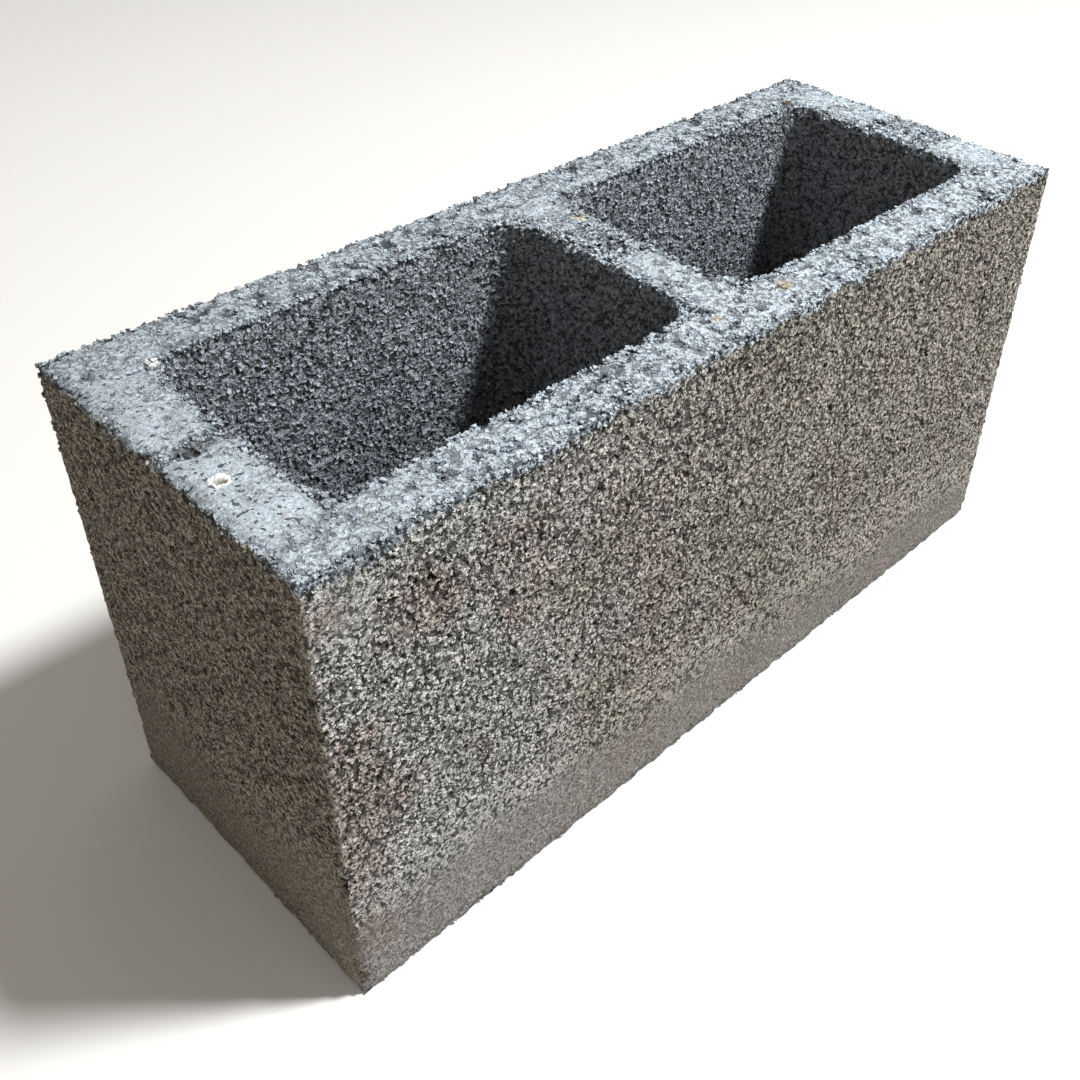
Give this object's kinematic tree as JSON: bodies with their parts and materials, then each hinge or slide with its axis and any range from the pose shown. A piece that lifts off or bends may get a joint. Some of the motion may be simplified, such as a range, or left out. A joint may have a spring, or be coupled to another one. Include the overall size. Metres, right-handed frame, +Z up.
{
  "type": "concrete block",
  "caption": "Hollow concrete masonry block with through cells between two face shells, laid in mortar in a wall.",
  "frame": {"origin": "middle of the bottom bed face", "axes": "+X along the block's length, +Y through the wall's thickness, +Z up as laid"},
  "size_m": [0.4, 0.15, 0.2],
  "materials": {
    "concrete": "rough, open-pored pressed concrete"
  },
  "bodies": {
    "root": {"block": "concrete"}
  },
  "joints": []
}
